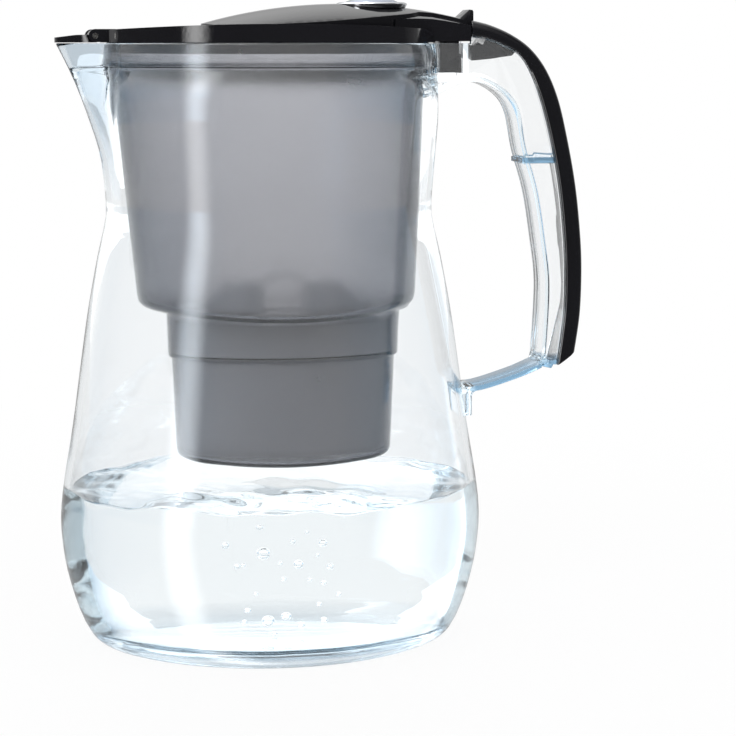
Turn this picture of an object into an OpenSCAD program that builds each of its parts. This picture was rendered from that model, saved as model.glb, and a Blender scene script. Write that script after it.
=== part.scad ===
// Water filter pitcher: clear jug with a spout and a loop handle, smoked funnel
// with a cartridge in its well, and a black lid with a flip-up filling flap.
// The origin is the centre of the foot. The spout points to -X, the handle to +X.

/* [Jug] */
// Height of the jug, foot to rim
jug_h = 268.7; // [235:0.1:325]
// Length of the jug at its widest, spout side to handle side
jug_l = 191; // [185:1:230]
// Width of the jug at its widest, side to side
jug_w = 165; // [160:1:190]
// Thickness of the jug's wall
wall = 2.6; // [2:0.1:3.2]
// Reach of the spout's lip beyond the rim
spout_reach = 19; // [14:0.5:24]
// Width of the spout at the rim
spout_w = 42; // [38:1:50]
// Height of the raised middle of the foot
punt_h = 5; // [3:0.5:8]

/* [Handle] */
// Width of the clear handle channel
channel_w = 22; // [18:1:26]
// Width of the black grip cover
grip_w = 28; // [26:1:34]
// Wall thickness of the handle channel
channel_wall = 2; // [1.6:0.1:2.6]

/* [Cartridge] */
// Length of the cartridge's rim
cart_l = 99.6; // [90:0.1:102]
// Width of the cartridge's rim
cart_w = 59.2; // [52:0.1:64]
// Height of the rim skirt
skirt_h = 15; // [12:0.5:18]
// Height of the body below the skirt
cart_body_h = 45; // [38:0.5:50]

/* [Funnel] */
// Wall thickness of the funnel
funnel_wall = 1.8; // [1.5:0.1:2.2]
// Clearance all round between the cartridge and its well
cart_fit = 0.5; // [0.3:0.05:0.8]
// Clearance all round between the funnel collar and the jug
collar_fit = 0.5; // [0.3:0.05:0.8]
// Height of the funnel collar
collar_h = 10.5; // [8:0.5:13]

/* [Lid] */
// Height of the lid's side band
band_h = 7.7; // [6.5:0.1:9]
// Thickness of the lid's plate and band
lid_wall = 2.2; // [1.8:0.1:2.8]
// Rise of the flap's crest above the rim
crest_h = 17.5; // [16:0.5:20]
// Gap all round between the flap and the lid
flap_gap = 0.5; // [0.35:0.05:0.8]
// Diameter of the hinge pins
pin_d = 2.6; // [2:0.1:3.2]
// Radial clearance of a pin in the hinged piece
pin_play = 0.06; // [0.04:0.01:0.1]

/* [Indicator] */
// Outer diameter of the chrome bezel
bezel_d = 31.8; // [28:0.2:34]
// Clearance between the button and the bezel
button_fit = 0.2; // [0.12:0.02:0.3]
// Travel of the button
button_travel = 1.2; // [0.8:0.1:1.5]

/* [Hidden] */
$fn = 96;
eps = 0.01;

// ---- shared maths ----------------------------------------------------------

// Smooth curve through [x, y] points, read at x
function knot_slope(p, i) = i == 0 ? (p[1][1] - p[0][1]) / (p[1][0] - p[0][0])
    : i == len(p) - 1 ? (p[i][1] - p[i - 1][1]) / (p[i][0] - p[i - 1][0])
    : (p[i + 1][1] - p[i - 1][1]) / (p[i + 1][0] - p[i - 1][0]);
function span_of(p, x, i = 0) = i >= len(p) - 2 || x < p[i + 1][0] ? i : span_of(p, x, i + 1);
function smooth(p, x) = let (i = span_of(p, x), d = p[i + 1][0] - p[i][0], s = (x - p[i][0]) / d)
    (2 * pow(s, 3) - 3 * s * s + 1) * p[i][1] + (pow(s, 3) - 2 * s * s + s) * d * knot_slope(p, i)
    + (3 * s * s - 2 * pow(s, 3)) * p[i + 1][1] + (pow(s, 3) - s * s) * d * knot_slope(p, i + 1);

// Smooth path through points in a plane: steps places per span
function path_at(p, i, s) = let (
    p0 = p[max(i - 1, 0)], p1 = p[i], p2 = p[i + 1], p3 = p[min(i + 2, len(p) - 1)])
    0.5 * (2 * p1 + (p2 - p0) * s + (2 * p0 - 5 * p1 + 4 * p2 - p3) * s * s
    + (3 * p1 - p0 - 3 * p2 + p3) * pow(s, 3));
function smooth_path(p, steps) = concat(
    [for (i = [0:len(p) - 2], k = [0:steps - 1]) path_at(p, i, k / steps)], [p[len(p) - 1]]);

// A plane path moved sideways by d, to the left of its direction
function side_step(p, d) = [for (i = [0:len(p) - 1])
    let (q = p[min(i + 1, len(p) - 1)] - p[max(i - 1, 0)]) p[i] + d * [-q[1], q[0]] / norm(q)];

// Radius of the side arcs of an oval drawn with four tangent arcs
function side_radius(a, b, e) = ((a - e) * (a - e) + b * b - e * e) / (2 * (b - e));
// Distance from the centre of that oval to its edge at polar angle t
function oval_r(a, b, e, t) = let (
    c = a - e, r = side_radius(a, b, e), h = r - b, k = norm([c, h]),
    jx = c + e * c / k, jy = e * h / k, ct = abs(cos(t)), st = abs(sin(t)))
    st * jx < ct * jy ? c * ct + sqrt(e * e - c * c * st * st) : sqrt(r * r - h * h * ct * ct) - h * st;

// The same oval as a flat shape
module oval(a, b, e) polygon([for (t = [0:4:356]) oval_r(a, b, e, t) * [cos(t), sin(t)]]);

// Solid through closed rings of equal length, capped at both ends
module loft(rings) {
    n = len(rings[0]);
    m = len(rings);
    polyhedron(
        points = [for (r = rings) each r],
        faces = concat(
            [[for (i = [0:n - 1]) i]],
            [for (k = [0:m - 2], i = [0:n - 1]) let (j = (i + 1) % n)
                each [[k * n + i, (k + 1) * n + i, (k + 1) * n + j], [k * n + i, (k + 1) * n + j, k * n + j]]],
            [[for (i = [n - 1:-1:0]) (m - 1) * n + i]]),
        convexity = 6);
}

// Extrudes a plane drawn in X and Z to a width centred on Y
module across(w) rotate([90, 0, 0]) linear_extrude(w, center = true) children();

// ---- jug -------------------------------------------------------------------

// Half length of the jug along its height, both as shares
jug_curve = [[0, 0.838], [0.03, 0.893], [0.08, 0.946], [0.145, 0.988], [0.224, 1], [0.372, 0.936],
    [0.55, 0.863], [0.65, 0.81], [0.71, 0.771], [0.73, 0.767], [0.76, 0.772], [0.82, 0.786],
    [0.885, 0.799], [1, 0.79]];
jug_turns = concat([for (t = [-148:8:148]) t], [for (t = [153:3:207]) t]);
spout_base = 0.79 * jug_h;
function jug_a(z) = jug_l / 2 * smooth(jug_curve, max(z, 0) / jug_h);
function jug_b(z) = jug_a(z) * jug_w / jug_l;
function jug_e(z) = jug_b(z) * (0.86 - 0.14 * z / jug_h);
function spout_push(z) = z <= spout_base ? 0
    : spout_reach * pow((z - spout_base) / (jug_h - spout_base), 1.73);
function spout_form(y, w) = abs(y) < w ? pow(cos(90 * y / w), 1.3) : 0;
// Ring of the jug's outline at height z, drawn inset from it and set at height at
function jug_ring(z, inset, at) = [for (t = jug_turns)
    let (r = oval_r(jug_a(z) - inset, jug_b(z) - inset, jug_e(z) - inset, t),
        x = r * cos(t), y = r * sin(t),
        push = x < 0 ? spout_push(z) * spout_form(y, spout_w / 2 - 0.6 * inset) : 0)
    [x - push, y, at]];

rim_a = jug_a(jug_h);
rim_b = jug_b(jug_h);
rim_e = jug_e(jug_h);
ledge_z = jug_h + 0.3 - collar_h;
ledge_w = 1.6;
foot_r = 4;
floor_t = 3.2;
rim_round = 0.8;
foot_spare = 1; // drawn below the foot and cut off level
wall_shares = [0.05, 0.1, 0.16, 0.224, 0.3, 0.38, 0.47, 0.56, 0.64, 0.69, 0.715, 0.735, 0.76, 0.8,
    0.84, 0.885, 0.92, 0.95];

module jug_body() {
    outside = concat(
        [jug_ring(0, 19, punt_h), jug_ring(0, 17, 0.8 * punt_h), jug_ring(0, 14, 0),
            jug_ring(0, 12, -foot_spare), jug_ring(0, 6, -foot_spare)],
        [for (t = [0:30:90]) let (z = foot_r * (1 - cos(t))) jug_ring(z, foot_r * (1 - sin(t)), z)],
        [for (s = wall_shares) jug_ring(s * jug_h, 0, s * jug_h)]);
    shoulder = jug_h - rim_round;
    rim = [jug_ring(shoulder, 0, shoulder), jug_ring(jug_h, rim_round, jug_h),
        jug_ring(jug_h, wall - rim_round, jug_h), jug_ring(shoulder, wall, shoulder)];
    ledge = [jug_ring(ledge_z, wall, ledge_z), jug_ring(ledge_z, wall + ledge_w, ledge_z),
        jug_ring(ledge_z - 2, wall + ledge_w, ledge_z - 2),
        jug_ring(ledge_z - 5, wall, ledge_z - 5)];
    inside = concat(
        [for (i = [len(wall_shares) - 3:-1:1]) let (z = wall_shares[i] * jug_h) jug_ring(z, wall, z)],
        [jug_ring(12, wall + 0.4, 12), jug_ring(6, wall + 2.5, 6), jug_ring(0, 9, floor_t),
            jug_ring(0, 12.5, floor_t), jug_ring(0, 17.5, punt_h + floor_t)]);
    color("lightblue", 0.35) difference() {
        loft(concat(outside, rim, ledge, inside));
        translate([-jug_l, -jug_w, -10]) cube([2 * jug_l, 2 * jug_w, 10]);
    }
}

// ---- handle ----------------------------------------------------------------

// Places on the handle: distance out from the rim's end, and share of the jug's height
function handle_at(p) = [for (q = p) [rim_a + q[0], jug_h * q[1]]];
grip_outer = smooth_path(handle_at([[14.4, 1.0395], [23.5, 1.031], [33.5, 1.015], [42.5, 0.991],
    [50, 0.955], [55.8, 0.905], [60.3, 0.837], [64, 0.765], [66.3, 0.695], [67.5, 0.625],
    [67, 0.545], [64.6, 0.479]]), 3);
grip_inner = smooth_path(handle_at([[14.4, 1.0105], [20, 1.0085], [28, 0.998], [36.4, 0.981],
    [42, 0.95], [47.2, 0.9], [51.8, 0.835], [55.4, 0.765], [57.6, 0.695], [58.8, 0.625],
    [58.6, 0.545], [55.6, 0.455]]), 3);
channel_inner = smooth_path(handle_at([[0.4, 0.918], [9, 0.933], [17, 0.936], [24, 0.928],
    [31, 0.909], [35.2, 0.88], [38.4, 0.82], [44, 0.747], [47.8, 0.66], [49.6, 0.607],
    [49.6, 0.553], [48.2, 0.461]]), 3);
grip_seat = side_step(grip_inner, -0.15);

// Sweep of the lower arm, from the jug's wall to the channel, as shares of its length and rise
arm_sweep = [[0, 0], [0.2, 0.01], [0.36, 0.13], [0.57, 0.36], [0.78, 0.62], [1, 0.96]];
arm_t = 2.4;
pad_t = 4;

pocket_floor = jug_h * 0.9455;
pocket_end = rim_a + 11.2;
lug_w = 15;
lug_fit = 0.5;

// Where the jug's end wall lies between two heights, with a gap added: a cone of true arcs
module jug_end_wall(z1, z2, gap) {
    mid = (z1 + z2) / 2;
    c = jug_a(mid) - jug_e(mid);
    translate([c, 0, z1]) cylinder(z2 - z1, jug_a(z1) - c + gap, jug_a(z2) - c + gap, $fn = 128);
}

module handle_frame() {
    foot_z = [jug_h * 0.371, jug_h * 0.422];
    foot_x = jug_a(foot_z[1]);
    arm_root = [foot_x - 2, foot_z[1]];
    arm_end = [channel_inner[len(channel_inner) - 1], grip_seat[len(grip_seat) - 1]];
    arm_span = arm_end[0] - arm_root;
    arm = smooth_path([for (q = arm_sweep) arm_root + [q[0] * arm_span[0], q[1] * arm_span[1]]], 3);
    root = [[rim_a - 3, jug_h * 0.912], [rim_a - 3, jug_h], [rim_a + 14.2, jug_h]];
    color("lightblue", 0.35) {
        difference() {
            union() {
                difference() {
                    across(channel_w) polygon(concat(
                        [for (i = [len(channel_inner) - 1:-1:0]) channel_inner[i]], root, grip_seat));
                    across(channel_w - 2 * channel_wall) polygon(concat(
                        [for (p = side_step(channel_inner, 2.4)) p], [arm_end[1] + [6, 3]],
                        [for (i = [len(grip_inner) - 1:-1:0]) grip_inner[i] + [8, 3]],
                        [[rim_a - 5, jug_h + 9], [rim_a - 5, jug_h * 0.93]]));
                }
                // floor and rear wall of the pocket for the lid's lug
                translate([rim_a - 3, -channel_w / 2, pocket_floor - 2.3])
                    cube([pocket_end - rim_a + 5.3, channel_w, 2.3]);
                translate([pocket_end, -channel_w / 2, pocket_floor - eps])
                    cube([2.3, channel_w, jug_h - pocket_floor + eps]);
                // cross rib
                translate([rim_a + 38.6, -channel_w / 2, jug_h * 0.8]) cube([14.4, channel_w, 2.2]);
                // floor of the channel
                across(channel_w) polygon([arm_end[0] + [0, 2], arm_end[1] + [-0.6, 1.2],
                    arm_end[1] + [-2.2, -1.6], arm_end[0] + [-0.6, -1.8]]);
                // swept lower arm
                under = side_step(arm, -arm_t);
                across(channel_w) polygon(concat(arm, [for (i = [len(under) - 1:-1:0]) under[i]]));
                // foot pad on the wall, with a fillet below the arm
                across(channel_w) polygon([[foot_x - 4, foot_z[0]], [foot_x + pad_t, foot_z[0]],
                    [foot_x + pad_t, foot_z[1] - 4.6], [foot_x + pad_t + 0.7, foot_z[1] - 3],
                    [foot_x + pad_t + 2.2, foot_z[1] - 2], [foot_x + pad_t + 5, foot_z[1] - 1],
                    [foot_x - 4, foot_z[1] - 1]]);
            }
            jug_end_wall(jug_h * 0.9, jug_h * 1.02, 0.2);
            jug_end_wall(foot_z[0] - 1, foot_z[1] + 4, 0.3);
        }
    }
}

// Section of the grip: share of its half width, share of its depth from the channel outwards
grip_section = [[-0.94, 0], [-1, 0.1], [-1, 0.55], [-0.94, 0.8], [-0.8, 0.94], [-0.5, 1],
    [0.5, 1], [0.8, 0.94], [0.94, 0.8], [1, 0.55], [1, 0.1], [0.94, 0]];
slot_w = 19.6;
flap_axis = [rim_a + 9.8, jug_h + 5.4];
tab_sweep = 12.2;
tab_points = [[-1, 3], [-0.4, 5], [4.8, 9.6], [6.2, 9.4], [6.6, 8.6], [6.6, 2.4], [3, 0]];

module handle_grip() {
    color("#1b1b1d") difference() {
        union() {
            loft([for (i = [len(grip_outer) - 1:-1:0]) [for (s = grip_section)
                let (p = grip_inner[i] + (grip_outer[i] - grip_inner[i]) * s[1])
                [p[0], s[0] * grip_w / 2, p[1]]]]);
            // rib under the root, standing in the channel
            across(channel_w - 2 * channel_wall - 0.6) polygon(concat(
                [[rim_a + 15, jug_h * 1.02]], [for (i = [1:9]) grip_inner[i] + [0, 2.5]],
                [[rim_a + 33.6, jug_h * 0.979], [rim_a + 24, jug_h * 0.974], [rim_a + 15, jug_h * 0.971]]));
        }
        // slot that the flap's tab dips into
        intersection() {
            translate([flap_axis[0], 0, flap_axis[1]]) rotate([90, 0, 0])
                cylinder(slot_w, tab_sweep, tab_sweep, center = true);
            translate([rim_a, -slot_w, jug_h - 1]) cube([40, 2 * slot_w, 40]);
        }
    }
}

// ---- funnel ----------------------------------------------------------------

round_turns = [for (t = [0:6:354]) t];
// Ring of an oval with half axes a and b, its end radius a share of b, its long sides dropped by sag
function ring(a, b, share, x, z, sag = 0) = [for (t = round_turns)
    let (r = oval_r(a, b, share * b, t), y = r * sin(t)) [x + r * cos(t), y, z - sag * pow(y / b, 2)]];

well_x = 6;
hop_floor = jug_h * 0.5695;
seat_z = hop_floor - skirt_h - 7.5;
well_foot = seat_z - cart_body_h - 2.4;
collar_a = rim_a - wall - collar_fit;
collar_b = rim_b - wall - collar_fit;
hop_top_a = collar_a - 2.7;
hop_top_b = collar_b - 2.7;
hop_a = max(0.826 * rim_a, cart_l / 2 + 13);
hop_b = max(0.81 * rim_b, cart_w / 2 + 10);
well_share = 0.74;
end_share = 0.72;
hop_sag = 3.6;
foot_sag = 2.2;
collar_top = jug_h + 0.3;

// Outline of the funnel and its well, going up: half length, half width, end share, centre,
// height and sag
function funnel_path(t) = let (a = cart_l / 2 + cart_fit, b = cart_w / 2 + cart_fit, s = funnel_wall - t)
    [[a - 12, b - 12, well_share, well_x, well_foot + t, 0.2 * foot_sag],
     [a - 5.6 + s, b - 5.6 + s, well_share, well_x, well_foot + t, foot_sag],
     [a - 4 + s, b - 4 + s, well_share, well_x, well_foot + 1 + 0.8 * t, foot_sag],
     [a - 3.2 + s, b - 3.2 + s, well_share, well_x, well_foot + 3.2 + t / 2, 0.8 * foot_sag],
     [a - 1.5 + s, b - 1.5 + s, well_share, well_x, seat_z - s, 0],
     [a + s, b + s, well_share, well_x, seat_z - 0.9 * s, 0],
     [a + 0.7 + s, b + 0.7 + s, well_share, well_x, hop_floor - 2.5 - s, 0],
     [(a + hop_a) / 2 + s, (b + hop_b) / 2 + s, (well_share + end_share) / 2, well_x / 2 + 1.5,
         hop_floor - 0.5 - s, 0.4 * hop_sag],
     [hop_a - 2.4 - t, hop_b - 2.4 - t, end_share, 3, hop_floor + 1 - s, hop_sag],
     [hop_a - 0.7 - t, hop_b - 0.7 - t, end_share, 3, hop_floor + 2.7 - s, hop_sag],
     [hop_a - t, hop_b - t, end_share, 3, hop_floor + 6 - s, 0.9 * hop_sag]];

module funnel() {
    top = [for (p = [[hop_top_a, hop_top_b, ledge_z], [collar_a, collar_b, ledge_z],
        [collar_a, collar_b, collar_top], [collar_a - funnel_wall, collar_b - funnel_wall, collar_top],
        [collar_a - funnel_wall, collar_b - funnel_wall, ledge_z + 2.4],
        [hop_top_a - funnel_wall, hop_top_b - funnel_wall, ledge_z]]) [p[0], p[1], end_share, 0, p[2], 0]];
    inner = funnel_path(funnel_wall);
    path = concat(funnel_path(0), top, [for (i = [len(inner) - 1:-1:0]) inner[i]]);
    color("slategray", 0.7) difference() {
        loft([for (p = path) ring(p[0], p[1], p[2], p[3], p[4], p[5])]);
        // outlet of the well
        translate([well_x, 0, well_foot - 5]) linear_extrude(20) oval(34, 14, 12);
    }
}

// ---- cartridge -------------------------------------------------------------

cart_a = cart_l / 2;
cart_b = cart_w / 2;
cart_top = seat_z + skirt_h;
cart_foot = seat_z - cart_body_h;
cart_wall = 1.6;
cap_z = cart_top - 4;
plate_a = cart_a - cart_wall - 0.35;
plate_b = cart_b - cart_wall - 0.35;
valley = 14;
hump_a = (plate_a - 3.85 - valley / 2) / 2;
hump_b = plate_b - 6.65;
hump_x = valley / 2 + hump_a;

module cartridge_shell() {
    body_a = cart_a - 1.5;
    body_b = cart_b - 1.5;
    outer = [[body_a - 3.4, body_b - 3.4, cart_foot], [body_a - 2.3, body_b - 2.3, cart_foot + 2.5],
        [body_a - 0.1, body_b - 0.1, seat_z], [cart_a, cart_b, seat_z],
        [cart_a, cart_b, cart_top - 0.8], [cart_a - 0.8, cart_b - 0.8, cart_top]];
    inner = [[cart_a - cart_wall, cart_b - cart_wall, cart_top],
        [cart_a - cart_wall, cart_b - cart_wall, cap_z],
        [body_a - cart_wall, body_b - cart_wall, cap_z],
        [body_a - cart_wall - 2.2, body_b - cart_wall - 2.2, cart_foot + 3],
        [body_a - cart_wall - 3.2, body_b - cart_wall - 3.2, cart_foot + 1.8]];
    color("white") difference() {
        loft([for (p = concat(outer, inner)) ring(p[0], p[1], well_share, well_x, p[2])]);
        // outlet slots in the floor
        for (i = [-4:4]) translate([well_x + 7.5 * i - 1, -11, cart_foot - 1]) cube([2, 22, 4]);
    }
}

// One of the two humps of the cap, sloping to the end on side s
module hump(s) {
    top = cap_z + 20.5;
    hull() {
        translate([well_x + s * hump_x, 0, cap_z + 1.5]) linear_extrude(1)
            intersection() {
                rotate(90) oval(hump_b, hump_a, hump_a - 2.5);
                translate([s * 2, 0]) square([2 * hump_a - 2, 60], center = true);
            }
        translate([well_x + s * (hump_x - 6.5), 0, top - 2.5]) linear_extrude(1)
            rotate(90) oval(hump_b - 9, hump_a - 9, hump_a - 10.5);
        translate([well_x + s * (hump_x - 7), 0, top - 1]) linear_extrude(1)
            rotate(90) oval(hump_b - 10.5, hump_a - 10.5, hump_a - 11.5);
    }
}

module cartridge_cap() {
    color("whitesmoke") difference() {
        union() {
            translate([well_x, 0, cap_z + 0.02]) linear_extrude(2) oval(plate_a, plate_b, well_share * plate_b);
            for (s = [-1, 1]) hump(s);
            // ridge across the valley
            across(30) polygon([[well_x - 6, cap_z + 1.8], [well_x, cap_z + 6.5], [well_x + 6, cap_z + 1.8]]);
            // carry loop
            translate([well_x, 0, cap_z + 13]) rotate([90, 0, 0]) rotate_extrude(angle = 180)
                translate([10.6, -1.4]) square([1.6, 2.8]);
        }
        // inlet slots in the humps
        for (s = [-1, 1], y = [-4, 4])
            translate([well_x + s * (hump_x - 7) - 2, y - 0.7, cap_z + 15]) cube([4, 1.4, 9]);
        for (s = [-1, 1]) translate([well_x + s * 40 - 1.5, -4, cap_z + 5]) cube([3, 8, 1.6]);
    }
}

module screen(z, a, b) translate([well_x, 0, z]) linear_extrude(0.8) oval(a, b, well_share * b);

module upper_screen() color("gainsboro") screen(cap_z - 1.1, cart_a - 3.6, cart_b - 3.6);
module lower_screen() color("gainsboro") screen(cart_foot + 2.1, cart_a - 7.6, cart_b - 7.6);
module filter_media() color("dimgray") loft([
    ring(cart_a - 7.2, cart_b - 7.2, well_share, well_x, cart_foot + 3.2),
    ring(cart_a - 4.2, cart_b - 4.2, well_share, well_x, cap_z - 1.4)]);

// ---- lid -------------------------------------------------------------------

lid_z = collar_top;
lid_a = rim_a - 0.6;
lid_b = rim_b - 0.6;
lid_top = lid_z + band_h;
crown_r = 1200;
plug_a = collar_a - funnel_wall - 0.4;
plug_b = collar_b - funnel_wall - 0.4;
flap_x = 0.26 * rim_a;
flap_a = 0.66 * rim_a;
flap_b = 31;
tail_w = 18;
tail_floor = lid_z + 2.4;
knuckle_r = 4;
tail_swing = 1.2;
ear_w = 27;
crest_x = 0.44 * rim_a;
crest_z = jug_h + crest_h;
crest_l = 230;
crest_r = 66;
button_x = 0.618 * rim_a;
spout_axis = [-rim_a - 2.4, jug_h + 3.2];

// Solid below the lid's gently crowned top, lowered by d
module crowned(d) translate([0, 0, lid_top - d - crown_r]) rotate([90, 0, 0])
    cylinder(400, crown_r, crown_r, center = true, $fn = 720);

// Solid below the flap's domed top, drawn in by d
module domed(d) translate([crest_x, 0, crest_z - crest_r]) rotate([0, 90, 0]) rotate_extrude($fn = 96)
    intersection() {
        translate([crest_r - crest_l, 0]) circle(crest_l - d, $fn = 300);
        translate([0, -200]) square([200, 400]);
    }

// Plan of the flap, grown by g
module flap_plan(g) {
    translate([flap_x, 0]) oval(flap_a + g, flap_b + g, 0.8 * flap_b + g);
    side = [[flap_x + 0.5 * flap_a, 0.8 * flap_b + g], [flap_axis[0] - 12, tail_w / 2 + g],
        [flap_axis[0] + 12, tail_w / 2 + g]];
    polygon(concat([for (q = side) [q[0], -q[1]]], [for (i = [2:-1:0]) side[i]]));
}

module pin(axis, length, r) translate([axis[0], 0, axis[1]]) rotate([90, 0, 0])
    cylinder(length, r, r, center = true);

module lid_frame() {
    root_x = flap_axis[0] + 4.2;
    color("#17171a") difference() {
        union() {
            difference() {
                intersection() {
                    translate([0, 0, lid_z]) linear_extrude(20) oval(lid_a, lid_b, rim_e - 0.6);
                    crowned(0);
                }
                // underside
                intersection() {
                    translate([0, 0, lid_z - 1]) linear_extrude(20)
                        oval(plug_a - 1.8, plug_b - 1.8, end_share * plug_b - 1.8);
                    crowned(lid_wall);
                }
                // filling opening
                translate([flap_x, 0, lid_z]) linear_extrude(30) oval(flap_a - 6, flap_b - 4, 0.7 * flap_b);
            }
            // skirt that plugs into the funnel collar
            translate([0, 0, lid_z - 5]) linear_extrude(5.5) difference() {
                oval(plug_a, plug_b, end_share * plug_b);
                oval(plug_a - 1.8, plug_b - 1.8, end_share * plug_b - 1.8);
            }
            // raised shoulders beside the flap's tail, running to the hinge ears
            intersection() {
                translate([0, 0, lid_z + 0.6]) linear_extrude(12)
                    polygon([[lid_a - 22, -25], [lid_a - 4, -17.5], [root_x, -ear_w / 2],
                        [root_x, ear_w / 2], [lid_a - 4, 17.5], [lid_a - 22, 25]]);
                domed(1.2);
            }
            // lug that drops into the handle pocket
            translate([rim_a + lug_fit + 0.3, -lug_w / 2, pocket_floor + 1.5])
                cube([pocket_end - rim_a - 2 * lug_fit - 0.3, lug_w, jug_h - pocket_floor]);
            // ears of the spout flap
            for (s = [-1, 1]) translate([0, s * 14.6, 0]) {
                translate([spout_axis[0], -1.6, lid_z + 0.2]) cube([9, 3.2, 5.6]);
                pin(spout_axis, 3.2, 2.9);
            }
        }
        // well for the flap's tail, with room behind it for the swing
        intersection() {
            translate([0, 0, tail_floor]) linear_extrude(30) union() {
                flap_plan(flap_gap);
                translate([tail_swing, 0]) flap_plan(flap_gap);
            }
            translate([lid_a - 24, -40, lid_z]) cube([60, 80, 40]);
        }
        // room for the knuckle and for the tab as it dips
        pin(flap_axis, tail_w + 2 * flap_gap, knuckle_r + 0.5);
        translate([flap_axis[0], -tail_w / 2 - flap_gap, jug_h - 5]) cube([20, tail_w + 2 * flap_gap, 30]);
        pin(flap_axis, ear_w + 1, pin_d / 2);
        pin(spout_axis, 40, pin_d / 2);
    }
}

module flip_hinge_pin() color("silver") pin(flap_axis, ear_w - 0.4, pin_d / 2);
module spout_flap_pin() color("silver") pin(spout_axis, 32, pin_d / 2);

module flip_lid() {
    color("#1d1d20") difference() {
        union() {
            difference() {
                intersection() {
                    translate([0, 0, tail_floor + 0.6]) linear_extrude(40) flap_plan(0);
                    domed(0);
                    translate([-rim_a, -60, 0]) cube([rim_a + flap_axis[0] + 3.5, 120, 400]);
                }
                // underside clears the lid's crowned plate
                intersection() {
                    crowned(-0.35);
                    translate([-200, -100, 0]) cube([200 + lid_a - 23.4, 200, 400]);
                }
                // hollow under the dome, round the seat of the indicator
                difference() {
                    intersection() {
                        translate([flap_x, 0, 0]) linear_extrude(400)
                            oval(flap_a - 2.2, flap_b - 2.2, 0.74 * flap_b);
                        domed(2.2);
                    }
                    translate([button_x, 0, bezel_foot - 2.4]) cylinder(20, bezel_r + 1.2, bezel_r + 1.2);
                }
            }
            pin(flap_axis, tail_w, knuckle_r);
            // thumb tab
            across(tail_w - 4) polygon([for (q = tab_points) flap_axis + q]);
        }
        // seat and bore for the indicator
        translate([button_x, 0, 0]) {
            translate([0, 0, jug_h]) cylinder(30, seat_r, seat_r);
            bezel_seat(0.25);
        }
        pin(flap_axis, 40, pin_d / 2 + pin_play);
    }
}

// ---- indicator -------------------------------------------------------------

bezel_r = bezel_d / 2;
seat_r = bezel_r - 2.4;
bezel_foot = crest_z - 3.2;
bezel_top = crest_z + 0.7;
bore_r = bezel_r - 3.7;

// Space that the bezel fills in the flap, grown by g
module bezel_seat(g) {
    translate([0, 0, bezel_foot - g]) cylinder(2.8 + g, bezel_r - 1.7 + g, bezel_r + g);
    translate([0, 0, bezel_foot + 2.7]) cylinder(4, bezel_r + g, bezel_r + g);
}

module indicator_bezel() color("silver") translate([button_x, 0, 0]) rotate_extrude()
    polygon([[bore_r, bezel_foot], [bezel_r - 1.7, bezel_foot], [bezel_r, bezel_foot + 2.8],
        [bezel_r, bezel_foot + 3.3], [bezel_r - 1.2, bezel_top], [bore_r, bezel_top]]);

cap_r = bore_r - button_fit;
dome_rise = 2.9;
dome_r = (cap_r * cap_r + dome_rise * dome_rise) / (2 * dome_rise);

module indicator_button() color("lightsteelblue") translate([button_x, 0, 0]) {
    intersection() {
        translate([0, 0, bezel_foot + button_travel]) cylinder(20, cap_r, cap_r);
        translate([0, 0, bezel_top + dome_rise - dome_r]) sphere(dome_r, $fn = 128);
    }
    translate([0, 0, bezel_foot - 2.8]) cylinder(3.4 + button_travel, 2, 2);
}

capsule_r = bezel_r - 2.8;
capsule_h = 10.4;
capsule_wall = 1.4;
capsule_foot = bezel_foot - capsule_h;
cell_h = 3.2;
cell_r = capsule_r - capsule_wall - 1.7;
board_t = 1.2;
spring_bore_r = 3;
spring_wire = 0.8;
module indicator_capsule() color("dimgray") translate([button_x, 0, 0]) rotate_extrude()
    polygon([[0, capsule_foot], [capsule_r - 1.5, capsule_foot], [capsule_r, capsule_foot + 1.5],
        [capsule_r, bezel_foot - 0.3], [capsule_r - capsule_wall, bezel_foot - 0.3],
        [capsule_r - capsule_wall, capsule_foot + capsule_wall], [0, capsule_foot + capsule_wall]]);

board_z = capsule_foot + 4.8;
module indicator_board() color("darkgreen") translate([button_x, 0, board_z])
    cylinder(board_t, capsule_r - capsule_wall - 0.1, capsule_r - capsule_wall - 0.1);
module coin_cell() color("silver") translate([button_x, 0, capsule_foot + capsule_wall + 0.1])
    cylinder(cell_h, cell_r, cell_r);
module button_spring() color("gold") translate([button_x, 0, board_z + board_t]) rotate_extrude()
    translate([spring_bore_r, 0]) square([spring_wire, bezel_foot + button_travel - 0.05 - board_z - board_t]);

// ---- spout flap ------------------------------------------------------------

module spout_flap() {
    tip = [for (y = [-15:2.5:15])
        [-sqrt(pow(rim_a, 2) - y * y) - spout_reach * spout_form(y, spout_w / 2) - 0.4, y]];
    color("#1d1d20") difference() {
        union() {
            intersection() {
                translate([0, 0, spout_axis[1] - 2.9]) linear_extrude(3.6)
                    polygon(concat(tip, [[spout_axis[0], 12.6], [spout_axis[0], -12.6]]));
                // thins to the tip
                across(60) polygon([for (q = [[5, -2.9], [5, 0.7], [-8, 0.4], [-24, -1.6], [-24, -2.9]])
                    spout_axis + q]);
            }
            pin(spout_axis, 25.2, 2.6);
        }
        pin(spout_axis, 60, pin_d / 2 + pin_play);
        // ears of the lid
        for (s = [-1, 1]) translate([0, s * 14.7, 0]) pin(spout_axis, 4, 3.3);
    }
}

jug_body();
handle_frame();
handle_grip();
funnel();
cartridge_shell();
cartridge_cap();
upper_screen();
lower_screen();
filter_media();
lid_frame();
flip_hinge_pin();
spout_flap_pin();
flip_lid();
indicator_bezel();
indicator_button();
indicator_capsule();
indicator_board();
coin_cell();
button_spring();
spout_flap();
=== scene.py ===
"""Water filter pitcher: a clear jug with water, its loop handle, a smoked funnel with a
cartridge, and a black lid with a flip-up flap and a chrome indicator button."""

import math

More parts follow.
